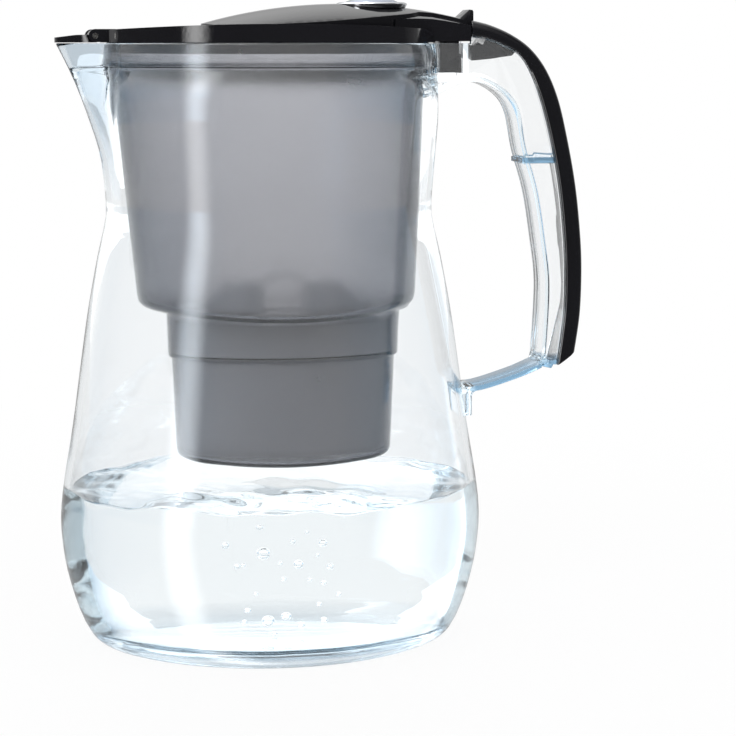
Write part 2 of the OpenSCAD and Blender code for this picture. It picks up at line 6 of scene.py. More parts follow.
import bmesh
import bpy
from mathutils import Matrix, Vector


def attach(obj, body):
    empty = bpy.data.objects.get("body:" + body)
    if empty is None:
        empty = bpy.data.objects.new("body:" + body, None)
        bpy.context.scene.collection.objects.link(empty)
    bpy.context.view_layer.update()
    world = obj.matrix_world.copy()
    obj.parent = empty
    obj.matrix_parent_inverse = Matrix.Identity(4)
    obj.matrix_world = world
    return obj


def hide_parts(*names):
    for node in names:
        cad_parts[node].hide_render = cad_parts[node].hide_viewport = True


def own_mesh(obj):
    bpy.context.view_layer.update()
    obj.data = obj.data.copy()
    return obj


bl_info = {
    "name": "Water filter pitcher",
    "version": (1, 0, 0),
    "blender": (4, 2, 0),
    "location": "3D View > Sidebar > Pitcher",
    "description": "Builds a water filter pitcher with a flip lid, piece by piece",
    "category": "Add Mesh",
}

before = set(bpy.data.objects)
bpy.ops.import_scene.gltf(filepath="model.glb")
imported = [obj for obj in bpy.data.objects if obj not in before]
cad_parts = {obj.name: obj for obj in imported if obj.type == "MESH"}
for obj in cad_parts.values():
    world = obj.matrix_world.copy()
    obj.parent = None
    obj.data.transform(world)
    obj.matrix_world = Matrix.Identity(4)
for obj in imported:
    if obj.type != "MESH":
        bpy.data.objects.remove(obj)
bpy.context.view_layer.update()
MM = 0.001
FINISHES = {}


# ---- sizes and colours ----


def length(name, description, value):
    """A size in metres"""
    return bpy.props.FloatProperty(name=name, description=description, default=value * MM,
                                   unit="LENGTH", precision=5, min=0)


def colour(name, description, value):
    """A colour in linear light"""
    return bpy.props.FloatVectorProperty(name=name, description=description, default=value,
                                         subtype="COLOR", size=3, min=0, max=1)


class PITCHER_PG_jug(bpy.types.PropertyGroup):
    height: length("Height", "Foot to rim", 268.7)
    long: length("Length", "Widest, spout side to handle side", 191)
    wide: length("Width", "Widest, side to side", 165)
    wall: length("Wall", "Thickness of the clear wall", 2.6)
    spout_reach: length("Spout reach", "How far the lip stands out from the rim", 19)
    spout_width: length("Spout width", "Width of the spout at the rim", 42)
    punt: length("Punt", "Rise of the middle of the foot", 5)
    water_level: length("Water level", "Height of the water's surface", 69.5)


class PITCHER_PG_handle(bpy.types.PropertyGroup):
    channel_width: length("Channel width", "Width of the clear channel", 22)
    channel_wall: length("Channel wall", "Thickness of the channel's sides", 2)
    grip_width: length("Grip width", "Width of the black cover", 28)


class PITCHER_PG_funnel(bpy.types.PropertyGroup):
    wall: length("Wall", "Thickness of the smoked wall", 1.8)
    fit: length("Fit", "Gap round the collar and round the cartridge", 0.5)
    cartridge_long: length("Cartridge length", "Length of the cartridge's rim", 99.6)
    cartridge_wide: length("Cartridge width", "Width of the cartridge's rim", 59.2)


class PITCHER_PG_lid(bpy.types.PropertyGroup):
    crest: length("Crest", "Rise of the flap's crest above the rim", 17.5)
    bezel: length("Bezel", "Outer diameter of the chrome ring", 31.8)


class PITCHER_PG_colours(bpy.types.PropertyGroup):
    clear: colour("Clear plastic", "What a thick wall of it lets through", (0.14, 0.52, 0.72))
    # painted shade: a deeper blue-grey for the dark look that bent light gives the handle's thick lower
    # arm and cross rib, which are the same clear plastic as the rest
    edge: colour("Plastic edge", "Lower arm and cross rib of the handle", (0.2, 0.32, 0.43))
    water: colour("Water", "What deep water lets through", (0.2, 0.7, 0.85))
    smoke: colour("Smoked plastic", "What a thick wall of it lets through", (0.06, 0.058, 0.133))
    black: colour("Black plastic", "Lid, flap and grip", (0.006, 0.006, 0.0075))
    white: colour("White plastic", "Cartridge", (0.86, 0.87, 0.88))
    chrome: colour("Chrome", "Bezel of the indicator", (0.86, 0.88, 0.91))
    button: colour("Button", "Cap of the indicator", (0.33, 0.38, 0.5))
    steel: colour("Steel", "Pins, spring and cell", (0.56, 0.55, 0.53))
    floor: colour("Floor", "Floor and backdrop", (0.93, 0.935, 0.94))


# ---- maths of curves and outlines ----

# most of a side that a cut corner may take
LONGEST_CUT = 0.33


def smooth(points, x):
    """Value at x of a smooth curve through points, which go up in x"""
    last = len(points) - 1

    def slope(i):
        a, b = points[max(i - 1, 0)], points[min(i + 1, last)]
        return (b[1] - a[1]) / (b[0] - a[0])

    i = next((k for k in range(last) if x < points[k + 1][0]), last - 1)
    (x0, y0), (x1, y1) = points[i], points[i + 1]
    d = x1 - x0
    s = (x - x0) / d
    return ((2 * s**3 - 3 * s * s + 1) * y0 + (s**3 - 2 * s * s + s) * d * slope(i)
            + (3 * s * s - 2 * s**3) * y1 + (s**3 - s * s) * d * slope(i + 1))


def smooth_path(points, steps):
    """Points along a smooth curve through points, steps to each span"""
    pts = [Vector(p) for p in points]
    out = []
    for i in range(len(pts) - 1):
        p0, p1, p2 = pts[max(i - 1, 0)], pts[i], pts[i + 1]
        p3 = pts[min(i + 2, len(pts) - 1)]
        for k in range(steps):
            s = k / steps
            out.append(0.5 * (2 * p1 + (p2 - p0) * s + (2 * p0 - 5 * p1 + 4 * p2 - p3) * s * s
                              + (3 * p1 - p0 - 3 * p2 + p3) * s**3))
    return out + [pts[-1]]


def side_step(path, d):
    """A flat path moved sideways by d, to the left of its direction"""
    out = []
    for i, p in enumerate(path):
        q = path[min(i + 1, len(path) - 1)] - path[max(i - 1, 0)]
        out.append(p + d * Vector((-q.y, q.x)).normalized())
    return out


def oval_radius(a, b, e, t):
    """Centre to edge, at angle t, of an oval of four tangent arcs with end radius e"""
    c, r = a - e, ((a - e) ** 2 + b * b - e * e) / (2 * (b - e))
    h = r - b
    k = math.hypot(c, h)
    jx, jy = c + e * c / k, e * h / k
    ct, st = abs(math.cos(t)), abs(math.sin(t))
    if st * jx < ct * jy:
        return c * ct + math.sqrt(e * e - c * c * st * st)
    return math.sqrt(r * r - h * h * ct * ct) - h * st


def ring(a, b, share, x, z, count, sag=0):
    """Oval ring with half axes a and b, its end radius a share of b, its long sides dropped by sag"""
    out = []
    for i in range(count):
        t = math.tau * i / count
        r = oval_radius(a, b, share * b, t)
        y = r * math.sin(t)
        out.append(Vector((x + r * math.cos(t), y, z - sag * (y / b) ** 2)))
    return out


def quarter(radius, steps):
    """Points round a quarter circle, as pairs: one number grows from 0 to the radius, one shrinks"""
    turns = [math.pi / 2 * k / steps for k in range(steps + 1)]
    return [(radius * (1 - math.cos(t)), radius * (1 - math.sin(t))) for t in turns]


def eased(path, radius, bends=2):
    """A path of number lists with each corner cut back by up to radius, twice for a round look"""
    for _ in range(bends):
        out = [path[0]]
        for a, p, b in zip(path, path[1:], path[2:]):
            for q in (a, b):
                share = min(LONGEST_CUT, radius / max(math.dist(p, q), 1e-9))
                out.append([u + (v - u) * share for u, v in zip(p, q)])
        path = out + [path[-1]]
        radius *= 0.4
    return path


# ---- modelling ----


def deselect():
    """Leaves edit mode and nothing selected"""
    if bpy.context.object is not None and bpy.context.object.mode != "OBJECT":
        bpy.ops.object.mode_set(mode="OBJECT")
    bpy.ops.object.select_all(action="DESELECT")


def hold(obj):
    """Selects one object alone and makes it active"""
    deselect()
    obj.select_set(True)
    bpy.context.view_layer.objects.active = obj


def named(name):
    """Names the object that was just added"""
    obj = bpy.context.object
    obj.name = obj.data.name = name
    return obj


def open_up():
    """Opens the active object for editing, with all of it selected"""
    bpy.ops.object.mode_set(mode="EDIT")
    bpy.ops.mesh.select_all(action="SELECT")


def close_up():
    """Turns all faces outwards and leaves edit mode"""
    bpy.ops.mesh.select_all(action="SELECT")
    bpy.ops.mesh.normals_make_consistent(inside=False)
    bpy.ops.object.mode_set(mode="OBJECT")


def place_here():
    """Moves the place of the object that was just added into its mesh"""
    bpy.ops.object.transform_apply(location=True, rotation=True, scale=True)


def put_ring(obj, places):
    """Moves the selected vertices of a mesh in edit mode to their places"""
    shape = bmesh.from_edit_mesh(obj.data)
    for v, p in zip([v for v in shape.verts if v.select], places):
        v.co = p
    bmesh.update_edit_mesh(obj.data)


def skin(name, rings):
    """Extrudes a filled circle ring by ring, which closes it with flat ends"""
    deselect()
    bpy.ops.mesh.primitive_circle_add(vertices=len(rings[0]), fill_type="NGON")
    obj = named(name)
    open_up()
    put_ring(obj, rings[0])
    for places in rings[1:]:
        bpy.ops.mesh.extrude_region_move()
        put_ring(obj, places)
    close_up()
    return obj


def plate(name, outline, width):
    """An outline drawn in X and Z, extruded across the jug"""
    flat = lambda side: [Vector((p[0], side * width / 2, p[1])) for p in outline]
    return skin(name, [flat(-1), flat(1)])


def box(name, low, high):
    """A box between two corners"""
    deselect()
    low, high = Vector(low), Vector(high)
    bpy.ops.mesh.primitive_cube_add(size=1, location=(low + high) / 2, scale=high - low)
    place_here()
    return named(name)


def rod(name, centre, radius, depth):
    """A round rod that lies across the jug"""
    deselect()
    bpy.ops.mesh.primitive_cylinder_add(vertices=96, radius=radius, depth=depth, location=centre,
                                        rotation=(math.pi / 2, 0, 0))
    place_here()
    return named(name)


def turned(name, profile, x):
    """A closed profile of radius and height, spun round an upright axis at x"""
    deselect()
    bpy.ops.mesh.primitive_circle_add(vertices=len(profile), fill_type="NOTHING")
    obj = named(name)
    open_up()
    put_ring(obj, [Vector((x + r * MM, 0, z * MM)) for r, z in profile])
    bpy.ops.mesh.spin(steps=128, angle=math.tau, center=(x, 0, 0), axis=(0, 0, 1))
    bpy.ops.mesh.select_all(action="SELECT")
    bpy.ops.mesh.remove_doubles(threshold=1e-6)
    bpy.ops.mesh.dissolve_degenerate(threshold=1e-6)
    close_up()
    return obj


def modify(obj, kind, **settings):
    """Adds a modifier and applies it"""
    hold(obj)
    made = obj.modifiers.new(kind.title(), kind)
    for key, value in settings.items():
        setattr(made, key, value)
    bpy.ops.object.modifier_apply(modifier=made.name)
    return obj


def soften(obj, width, angle):
    """Rounds the edges that are sharper than an angle"""
    return modify(obj, "BEVEL", width=width, segments=2, limit_method="ANGLE",
                  angle_limit=math.radians(angle), harden_normals=False, use_clamp_overlap=True)


def combine(obj, tools, operation="UNION"):
    """Joins solids to obj, or takes them out of it, and throws the tools away"""
    for tool in tools:
        modify(obj, "BOOLEAN", operation=operation, object=tool, solver="EXACT")
        bpy.data.objects.remove(tool)
    return obj


def copy_of(node, name):
    """A piece that starts as a merged copy of a node's mesh"""
    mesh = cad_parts[node].data.copy()
    mesh.materials.clear()
    mesh.name = name
    obj = bpy.data.objects.new(name, mesh)
    bpy.context.scene.collection.objects.link(obj)
    hold(obj)
    open_up()
    bpy.ops.mesh.remove_doubles(threshold=2e-6)
    bpy.ops.mesh.dissolve_limited(angle_limit=math.radians(0.2))
    bpy.ops.object.mode_set(mode="OBJECT")
    return obj


def settle(obj, body, slot, *nodes, angle, look=None, even=False):
    """Shades a piece smooth up to an angle, gives it its finish and ties it to its body"""
    hold(obj)
    bpy.ops.object.shade_smooth_by_angle(angle=math.radians(angle))
    deselect()
    if even:
        # large faces keep their own direction beside rounded edges
        modify(obj, "WEIGHTED_NORMAL", keep_sharp=True)
    obj.data.materials.clear()
    obj.data.materials.append(FINISHES[look or slot])
    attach(obj, body)
    if nodes:
        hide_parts(*nodes)


def soft_copy(node, name, width, body, slot, **shading):
    """A piece in a node's own shape, with its edges rounded by a width in millimetres"""
    settle(soften(copy_of(node, name), width * MM, 30), body, slot, node, **shading)


# ---- finishes ----


def sum_of(operation, turned=False):
    """A method that feeds its values into one Math node, in turned order for a reflected form"""

    def method(self, *other):
        parts = (*other, self) if turned else (self, *other)
        return self.nodes.node("Math", {"operation": operation}, dict(enumerate(parts)))

    return method


class Wire:
    """A node's output that takes part in Python sums"""

    def __init__(self, nodes, socket):
        self.nodes, self.socket = nodes, socket

    __add__, __radd__ = sum_of("ADD"), sum_of("ADD", True)
    __sub__, __rsub__ = sum_of("SUBTRACT"), sum_of("SUBTRACT", True)
    __mul__, __rmul__ = sum_of("MULTIPLY"), sum_of("MULTIPLY", True)
    __truediv__, __rtruediv__ = sum_of("DIVIDE"), sum_of("DIVIDE", True)
    __pow__, __abs__, sine = sum_of("POWER"), sum_of("ABSOLUTE"), sum_of("SINE")
    __gt__, __lt__ = sum_of("GREATER_THAN"), sum_of("LESS_THAN")
    least, most = sum_of("MINIMUM"), sum_of("MAXIMUM")

    def held(self):
        """Kept between 0 and 1"""
        return self.most(0).least(1)


class Nodes:
    """The node tree of a material or world, and the one way its nodes are made"""

    def __init__(self, owner, output="OutputMaterial"):
        self.owner, self.tree = owner, owner.node_tree
        self.tree.nodes.clear()
        self.out = self.tree.nodes.new("ShaderNode" + output)

    def node(self, kind, settings=None, values=None, out=0):
        made = self.tree.nodes.new("ShaderNode" + kind)
        for key, value in (settings or {}).items():
            setattr(made, key, value)
        for key, value in (values or {}).items():
            socket = made.inputs[key]
            if isinstance(value, Wire):
                self.tree.links.new(value.socket, socket)
            elif socket.type == "RGBA" and len(value) == 3:
                socket.default_value = (*value, 1)
            else:
                socket.default_value = value
        return Wire(self, made.outputs[out])

    def coords(self, scale=(1, 1, 1), turn=(0, 0, 0)):
        """Object coordinates, stretched and turned"""
        place = self.node("TexCoord", out="Object")
        return self.node("Mapping", None, {"Vector": place, "Scale": scale, "Rotation": turn})

    def split(self, vector):
        """The three numbers of a vector"""
        whole = self.node("SeparateXYZ", None, {0: vector})
        return [Wire(self, s) for s in whole.socket.node.outputs]

    def noise(self, scale, detail=2, rough=0.5, vector=None):
        return self.node("TexNoise", None, {"Vector": vector or self.coords(), "Scale": scale,
                                            "Detail": detail, "Roughness": rough}, "Fac")

    def cells(self, scale):
        return self.node("TexVoronoi", {"feature": "F1"}, {"Vector": self.coords(), "Scale": scale},
                         "Distance")

    def ray(self, kind):
        """1 for one kind of ray, else 0"""
        return self.node("LightPath", out=f"Is {kind} Ray")

    def tint(self, amount, a, b):
        """From colour a to colour b"""
        return self.node("Mix", {"data_type": "RGBA"}, {0: amount, 6: a, 7: b}, 2)

    def bump(self, height, distance, strength):
        return self.node("Bump", None, {"Height": height, "Distance": distance, "Strength": strength})

    def principled(self, **values):
        return self.node("BsdfPrincipled", None, {k.replace("_", " "): v for k, v in values.items()})

    def surface(self, shader, volume=None):
        """Links the output and gives back the material"""
        self.tree.links.new(shader.socket, self.out.inputs["Surface"])
        if volume is not None:
            self.tree.links.new(volume.socket, self.out.inputs["Volume"])
        return self.owner

    def glass(self, shader, lets, tone, density):
        """Glass that takes colour with depth and lets lamps through"""
        clear = self.node("BsdfTransparent", None, {"Color": lets})
        mix = self.node("MixShader", None, {0: self.ray("Shadow"), 1: shader, 2: clear})
        depth = self.node("VolumeAbsorption", None, {"Color": tuple(tone), "Density": density})
        return self.surface(mix, depth)


def finish(name, tone, alpha=1.0):
    """The nodes of a new material, with its plain colour for a solid view"""
    made = bpy.data.materials.new(name)
    made.use_nodes = True
    made.diffuse_color = (*tone, alpha)
    return Nodes(made)


def pair(tone, factor):
    """A colour, and the same colour lighter or darker"""
    return tuple(tone), tuple(c * factor for c in tone)


def scuffs(n, scale):
    """Fine rubbed lines in two directions, as a number from 0 to 1"""
    one = n.noise(scale, 3, 0.6, n.coords((1, 14, 1), (0.3, 0.2, 0.5)))
    two = n.noise(scale, 3, 0.6, n.coords((13, 1, 2), (0.1, 0.5, 0.9)))
    return one * two


# where painted shade tints the clear plastic, in metres
ARM_START, ARM_LOW, ARM_HIGH, ARM_RISE = 0.09, 0.0985, 0.0953, 0.24
RIB_START, RIB_LOW, RIB_HIGH = 0.112, 0.2145, 0.2177
SPOUT_START, SPOUT_LOW, FOOT_HIGH = -0.068, 0.2, 0.014
# the pale blue of the painted shade at the spout and the foot
PAINTED_SHADE_BLUE = (0.77, 0.82, 0.86)


def clear_plastic(tones):
    n = finish("Clear plastic", (0.8, 0.88, 0.95), 0.3)
    wave = n.noise(22, 1) + n.noise(90, 1) * 0.15
    x, _, z = n.split(n.coords())
    # painted shade for the dimmer look that bent light gives curved and thick clear plastic: a little
    # pale blue at the spout and the foot, and the most, a deeper blue-grey, on the handle's lower arm
    # and cross rib
    spout = ((SPOUT_START - x) * 160).least((z - SPOUT_LOW) * 30)
    foot = (FOOT_HIGH - z) * 120
    base = n.tint(spout.most(foot).held(), (1, 1, 1), PAINTED_SHADE_BLUE)
    # painted shade on the lower arm and the cross rib
    over, under = (ARM_HIGH + x * ARM_RISE - z) * 400, (z - ARM_LOW) * 300
    arm = ((x - ARM_START) * 300).least(over).least(under).held()
    rib = ((x - RIB_START) * 400).least((z - RIB_LOW) * 2500).least((RIB_HIGH - z) * 2500).held()
    base = n.tint(arm.most(rib), base, tuple(tones.edge))
    shader = n.principled(Base_Color=base, Roughness=n.noise(60, 3) * 0.02 + 0.004, IOR=1.5,
                          Transmission_Weight=1.0, Specular_IOR_Level=0.12,
                          Normal=n.bump(wave, 0.0005, 0.3))
    return n.glass(shader, (0.96, 0.98, 0.99), tones.clear, 9)


def water_finish(tones):
    n = finish("Water", (0.7, 0.85, 0.9), 0.3)
    shader = n.principled(Base_Color=(1, 1, 1), Roughness=0.0, IOR=1.333, Transmission_Weight=1.0,
                          Normal=n.bump(n.noise(60, 1), 0.0006, 0.25))
    return n.glass(shader, (0.97, 0.985, 0.99), tones.water, 0.4)


def smoked_plastic(tones):
    n = finish("Smoked plastic", (0.3, 0.3, 0.33), 0.7)
    grain = n.noise(420, 2)
    shader = n.principled(Base_Color=(0.96, 0.96, 0.96), Roughness=n.noise(45, 3) * 0.1 + 0.2,
                          IOR=1.5, Transmission_Weight=1.0, Specular_IOR_Level=0.6,
                          Coat_Weight=0.5, Coat_Roughness=0.03,
                          Normal=n.bump(n.noise(30, 1) + grain * 0.02, 0.0006, 0.4))
    return n.glass(shader, (0.58, 0.58, 0.6), tones.smoke, 276)


def gloss_black(tones, name, roughness):
    n = finish(name, (0.02, 0.02, 0.02))
    base = n.tint(n.noise(25, 3), *pair(tones.black, 1.5))
    return n.surface(n.principled(
        Base_Color=base, Roughness=scuffs(n, 60) * 0.1 + roughness, IOR=1.5, Coat_Weight=0.4,
        Coat_Roughness=0.04, Normal=n.bump(n.noise(500, 2) + n.noise(35, 1) * 2, 0.00008, 0.5)))


def white_plastic(tones):
    n = finish("White plastic", (0.87, 0.88, 0.89))
    base = n.tint(n.noise(30, 4), *pair(tones.white, 0.95))
    return n.surface(n.principled(Base_Color=base, Roughness=n.noise(120, 3) * 0.15 + 0.3, IOR=1.46,
                                  Normal=n.bump(n.noise(900, 2), 0.00006, 0.5)))


def bright_chrome(tones):
    n = finish("Bright chrome", (0.8, 0.82, 0.85))
    return n.surface(n.principled(Base_Color=tuple(tones.chrome), Metallic=1.0,
                                  Roughness=scuffs(n, 90) * 0.12 + 0.04,
                                  Normal=n.bump(n.noise(60, 1), 0.00006, 0.3)))


def button_plastic(tones):
    n = finish("Button plastic", (0.45, 0.5, 0.6))
    base = n.tint(n.cells(3200), *pair(tones.button, 1.25))
    return n.surface(n.principled(Base_Color=base, Metallic=0.55,
                                  Roughness=n.noise(150, 2) * 0.06 + 0.16,
                                  Coat_Weight=0.8, Coat_Roughness=0.03))


def plain_steel(tones):
    n = finish("Plain steel", (0.6, 0.6, 0.6))
    lines = n.noise(700, 2, 0.6, n.coords((1, 0.08, 1)))
    return n.surface(n.principled(Base_Color=tuple(tones.steel), Metallic=1.0,
                                  Roughness=lines * 0.18 + 0.2, Normal=n.bump(lines, 0.00003, 0.5)))


def dark_grey_plastic():
    n = finish("Dark grey plastic", (0.1, 0.1, 0.1))
    base = n.tint(n.noise(80, 3), (0.028, 0.028, 0.03), (0.05, 0.05, 0.053))
    return n.surface(n.principled(Base_Color=base, Roughness=n.noise(300, 2) * 0.2 + 0.42,
                                  Normal=n.bump(n.noise(1500, 2), 0.00008, 0.6)))


def woven_mesh():
    n = finish("Woven mesh", (0.8, 0.8, 0.82))
    x, y, _ = n.split(n.coords())
    # threads 0.6 mm apart each way
    thread = abs((x * 5200).sine()).most(abs((y * 5200).sine()))
    base = n.tint(thread, (0.18, 0.19, 0.2), (0.82, 0.83, 0.84))
    return n.surface(n.principled(Base_Color=base, Roughness=0.55,
                                  Normal=n.bump(thread, 0.00015, 0.8)))


def granules():
    n = finish("Filter granules", (0.15, 0.15, 0.15))
    grain, pale = n.cells(850), n.cells(420) < 0.28
    base = n.tint(pale * 0.75, (0.03, 0.03, 0.03), (0.75, 0.68, 0.5))
    return n.surface(n.principled(Base_Color=base, Roughness=0.7 - grain * 0.2,
                                  Normal=n.bump(1 - grain, 0.0006, 0.9)))


def circuit_board():
    n = finish("Circuit board", (0.05, 0.25, 0.12))
    lane = n.node("TexBrick", {"offset": 0.5}, {"Vector": n.coords(), "Scale": 160.0,
                                                "Mortar Size": 0.03}, "Fac")
    base = n.tint(lane, (0.012, 0.13, 0.05), (0.05, 0.28, 0.1))
    return n.surface(n.principled(Base_Color=base, Roughness=0.35 + lane * -0.1,
                                  Normal=n.bump(lane, 0.00008, 0.7)))


def all_finishes():
    """Makes every finish once, by the name of its slot"""
    tones = bpy.context.scene.pitcher_colours
    return {
        "clear_plastic": clear_plastic(tones),
        "smoke_plastic": smoked_plastic(tones),
        "black_plastic": gloss_black(tones, "Gloss black plastic", 0.05),
        "grip_plastic": gloss_black(tones, "Grip black plastic", 0.12),
        "white_plastic": white_plastic(tones),
        "mesh_screen": woven_mesh(),
        "filter_media": granules(),
        "chrome": bright_chrome(tones),
        "button_plastic": button_plastic(tones),
        "grey_plastic": dark_grey_plastic(),
        "board": circuit_board(),
        "pin_steel": plain_steel(tones),
        "water": water_finish(tones),
    }


# ---- stage ----

# where the camera stands and aims, in metres
VIEW_TURN = math.radians(-10)
VIEW_AWAY = 1.06
EYE_HEIGHT = 0.268
AIM_HEIGHT = 0.1225
AIM_SIDE = 0.0443
LENS_ANGLE = math.radians(17.935)
LAMP_AIM = Vector((0, 0, 0.14))

# brightness, where 1 is white
FLOOR_GLOW = 0.92
GLOSS_LIGHT = 0.06
REAR_LIGHT = 0.5
TOP_LIGHT = 1.7
TABLE_LIGHT = 0.45
SKY_LIGHT = 0.55
CARD_TONE = (0.36, 0.54, 0.7)
# soft boxes that gloss mirrors: turn from the front towards the spout, half width, brightness
LIGHT_BOXES = ((math.radians(53), 0.2, 5.5), (math.radians(-118), 0.08, 1.0))
# name, place, size and power
LAMPS = (
    ("Key lamp", (-0.9, -1.3, 1.3), (0.7, 1.0), 14),
    ("Fill lamp", (1.3, -0.9, 0.8), (0.8, 0.8), 7),
    ("Rear lamp", (0.3, 1.4, 1.1), (1.2, 0.5), 9),
)


def lay_floor(tones):
    """A wide pale floor, a little deeper in tone near the jug, that keeps its shadow"""
    deselect()
    bpy.ops.mesh.primitive_circle_add(vertices=96, radius=3.0, fill_type="NGON")
    floor = named("floor")
    n = finish("Pale floor", (0.9, 0.9, 0.9))
    pale = n.tint(n.noise(3, 2), *pair(tones.floor, 0.98))
    matt = n.principled(Base_Color=pale, Roughness=0.6, Specular_IOR_Level=0.1)
    glow = n.node("Emission", None, {"Color": (1, 1, 1), "Strength": 1.0})
    x, y, _ = n.split(n.coords())
    far = (((x * x + y * y) ** 0.5 - 0.2) * 2).held()
    share = n.ray("Camera").most(n.ray("Transmission")) * (far * (1 - FLOOR_GLOW) + FLOOR_GLOW)
    floor.data.materials.append(n.surface(n.node("MixShader", None, {0: share, 1: matt, 2: glow})))
    floor.visible_glossy = False


def light_backdrop(scene):
    """A white world, with what clear plastic and gloss show of a studio"""
    world = scene.world or bpy.data.worlds.new("World")
    scene.world = world
    world.use_nodes = True
    n = Nodes(world, "OutputWorld")
    x, y, z = n.split(n.node("TexCoord", out="Generated"))
    glossy, through, camera = n.ray("Glossy"), n.ray("Transmission"), n.ray("Camera")
    low = 1 - ((z - 0.3) * 3).held()
    # pale blue-grey at both sides, which draws the edges of clear plastic
    card = ((abs(x) - 0.55) * 3).held() * low * (1 - camera)
    tone = n.tint(card * through, (1, 1, 1), CARD_TONE)
    # what gloss mirrors behind, overhead and from the table
    behind = ((y * math.cos(VIEW_TURN) - x * math.sin(VIEW_TURN) - 0.3) * 1.6).held()
    above = ((z - 0.3) * 2.5).held() * (0.6 - x).held()
    below = ((-0.3 - z) * 3).held()
    mirrored = behind * REAR_LIGHT + above * TOP_LIGHT + below * TABLE_LIGHT + GLOSS_LIGHT
    # and the soft upright light boxes
    for turn, width, bright in LIGHT_BOXES:
        c, s = math.cos(turn), math.sin(turn)
        across, along = x * c - y * s, x * -s - y * c
        mirrored = mirrored + (1 - across * across / width**2).most(0) ** 2 * (along > 0) * bright
    sky = (1 - camera.most(glossy).most(through)) * SKY_LIGHT
    lit = camera + through + glossy * mirrored + sky
    n.surface(n.node("Background", None, {"Color": tone, "Strength": lit}))
    world.cycles.sampling_method = "NONE"


def hang_lamps():
    """Soft lamps that neither gloss nor clear plastic shows"""
    for name, place, size, power in LAMPS:
        deselect()
        bpy.ops.object.light_add(type="AREA", location=place)
        lamp = bpy.context.object
        lamp.name = name
        lamp.data.shape = "RECTANGLE"
        lamp.data.size, lamp.data.size_y = size
        lamp.data.energy = power
        lamp.visible_glossy = lamp.visible_transmission = False
        lamp.rotation_euler = (LAMP_AIM - Vector(place)).to_track_quat("-Z", "Y").to_euler()


def place_camera(scene):
    """The camera, at the height of the lid and a little towards the spout"""
    side = Vector((math.cos(VIEW_TURN), math.sin(VIEW_TURN), 0))
    back = Vector((math.sin(VIEW_TURN), -math.cos(VIEW_TURN), 0))
    aim = side * AIM_SIDE + Vector((0, 0, AIM_HEIGHT))
    drop = EYE_HEIGHT - AIM_HEIGHT
    place = aim + back * math.sqrt(VIEW_AWAY**2 - drop**2) + Vector((0, 0, drop))
    deselect()
    bpy.ops.object.camera_add(location=place)
    camera = bpy.context.object
    camera.data.angle = LENS_ANGLE
    camera.rotation_euler = (aim - place).to_track_quat("-Z", "Y").to_euler()
    camera.data.clip_start, camera.data.clip_end = 0.05, 20
    scene.camera = camera


class PITCHER_OT_stage(bpy.types.Operator):
    """Floor, backdrop light, lamps and camera"""
    bl_idname = "pitcher.stage"
    bl_label = "Stage"

    def execute(self, context):
        scene = context.scene
        scene.view_settings.view_transform = "Standard"
        cycles = scene.cycles
        cycles.max_bounces = cycles.transmission_bounces = 28
        cycles.glossy_bounces = cycles.transparent_max_bounces = 28
        lay_floor(scene.pitcher_colours)
        light_backdrop(scene)
        hang_lamps()
        place_camera(scene)
        return {"FINISHED"}


# ---- jug ----

JUG_CURVE = ((0, 0.838), (0.03, 0.893), (0.08, 0.946), (0.145, 0.988), (0.224, 1), (0.372, 0.936),
             (0.55, 0.863), (0.65, 0.81), (0.71, 0.771), (0.73, 0.767), (0.76, 0.772), (0.82, 0.786),
             (0.885, 0.799), (1, 0.79))
JUG_TURNS = 192
# the spout: share of the height where it starts, and how it grows upwards and narrows sideways
SPOUT_BASE, SPOUT_FLARE, SPOUT_ROUND = 0.79, 1.73, 1.3
# inside the foot, from the wall to the middle: height and distance from the outside in millimetres
FLOOR_CURVE = ((18, 2.9), (12, 3.1), (6, 5.4), (3.5, 9.4), (3.2, 12.6), (4.4, 15), (7.4, 17.2),
               (8.3, 21), (8.8, 40))
# under the foot, from the middle outwards: distance from the outside and share of the punt
PUNT_CURVE = ((60, 1.25), (40, 1.15), (27, 1.05), (21, 1), (19.4, 0.97), (18, 0.85), (16.4, 0.5),
              (15, 0.12), (14, 0))


class Jug:
    """The jug's outline at each height"""

    def __init__(self):
        size = bpy.context.scene.pitcher_jug
        self.h, self.long, self.wide, self.wall = size.height, size.long, size.wide, size.wall
        self.reach, self.lip, self.punt = size.spout_reach, size.spout_width, size.punt
        self.rim_a, self.rim_b = self.a(self.h), self.b(self.h)
        self.top = self.h + 0.3 * MM
        self.ledge = self.top - 10.5 * MM

    def a(self, z):
        return self.long / 2 * smooth(JUG_CURVE, max(z, 0) / self.h)

    def b(self, z):
        return self.a(z) * self.wide / self.long

    def e(self, z):
        return self.b(z) * (0.86 - 0.14 * z / self.h)

    def push(self, y, z, inset):
        """How far the spout stands out at one place"""
        base = SPOUT_BASE * self.h
        half = self.lip / 2 - 0.6 * inset
        if z <= base or abs(y) >= half:
            return 0
        rise = (z - base) / (self.h - base)
        return self.reach * rise**SPOUT_FLARE * math.cos(math.pi / 2 * y / half) ** SPOUT_ROUND

    def ring(self, z, inset=0, at=None):
        """Outline at height z, drawn in by inset, set at another height if given"""
        out = []
        for i in range(JUG_TURNS):
            # closer together round the spout
            u = i / JUG_TURNS
            t = math.tau * (u + 0.055 * math.sin(math.tau * u))
            r = oval_radius(self.a(z) - inset, self.b(z) - inset, self.e(z) - inset, t)
            x, y = r * math.cos(t), r * math.sin(t)
            if x < 0:
                x -= self.push(y, z, inset)
            out.append(Vector((x, y, z if at is None else at)))
        return out

    def floor_ring(self, z, inset, gap=0):
        """A ring of the curve inside the foot, in millimetres, with a gap in metres"""
        lift = gap if inset > 3 else 0
        return self.ring(min(z, 12) * MM if inset > 9 else z * MM, inset * MM - gap, z * MM - lift)


